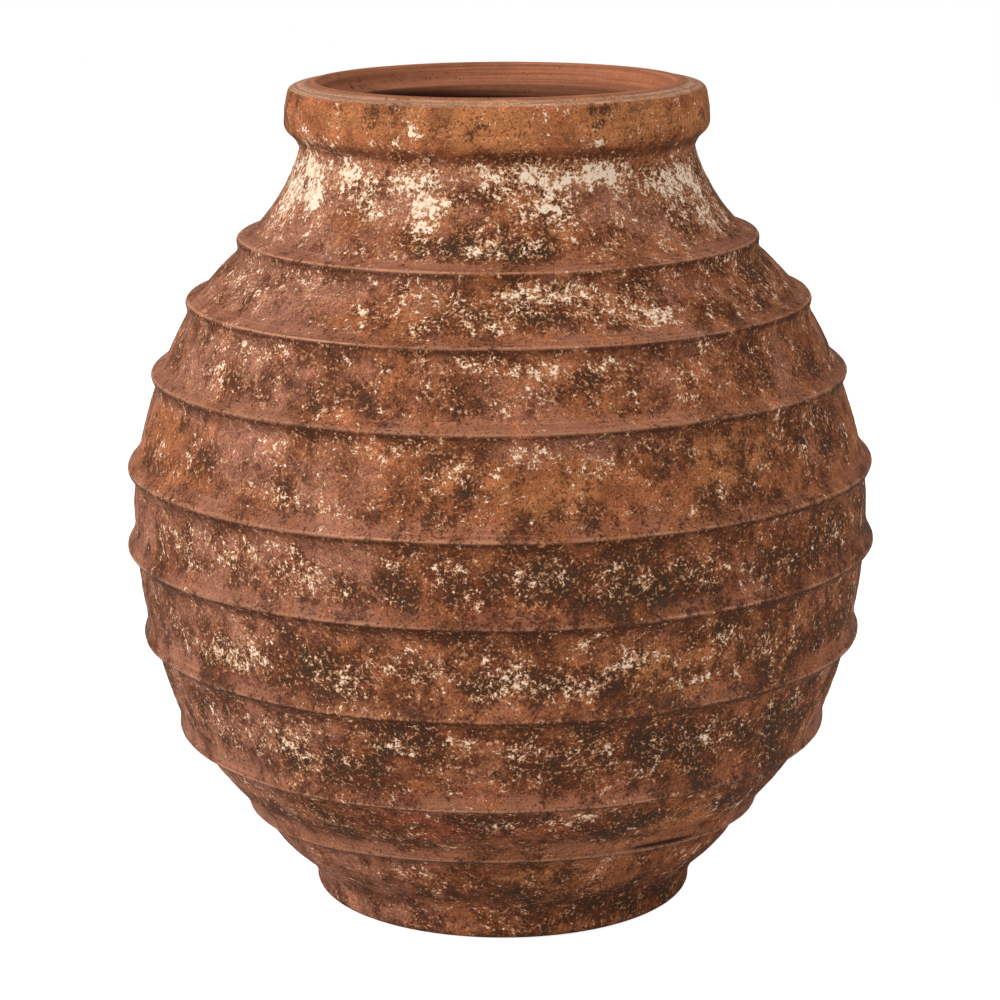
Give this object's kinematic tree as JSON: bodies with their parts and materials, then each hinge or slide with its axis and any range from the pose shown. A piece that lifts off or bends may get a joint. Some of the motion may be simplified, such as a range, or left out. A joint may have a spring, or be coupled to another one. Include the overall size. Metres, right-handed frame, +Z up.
{
  "type": "storage jar",
  "caption": "Large ribbed clay storage jar with a flat foot, round belly, drawn-in neck and heavy rolled rim around an open mouth.",
  "frame": {"origin": "middle of the flat underside", "axes": "+Z up along the jar's turning axis, -Y towards the side that the picture shows"},
  "size_m": [0.638, 0.638, 0.7],
  "materials": {
    "floor_clay": "matt, weathered",
    "foot_clay": "matt, weathered",
    "wall_clay": "matt, weathered",
    "band_clay": "matt, weathered",
    "neck_clay": "matt, weathered",
    "rim_clay": "matt, weathered"
  },
  "bodies": {
    "root": {"floor_disc": "floor_clay", "foot_ring": "foot_clay", "wall_course_1": "wall_clay", "wall_course_2": "wall_clay", "wall_course_3": "wall_clay", "wall_course_4": "wall_clay", "wall_course_5": "wall_clay", "wall_course_6": "wall_clay", "wall_course_7": "wall_clay", "wall_course_8": "wall_clay", "joint_band_1": "band_clay", "joint_band_2": "band_clay", "joint_band_3": "band_clay", "joint_band_4": "band_clay", "joint_band_5": "band_clay", "joint_band_6": "band_clay", "joint_band_7": "band_clay", "joint_band_8": "band_clay", "neck_collar": "neck_clay", "rim_coil": "rim_clay"}
  },
  "joints": []
}
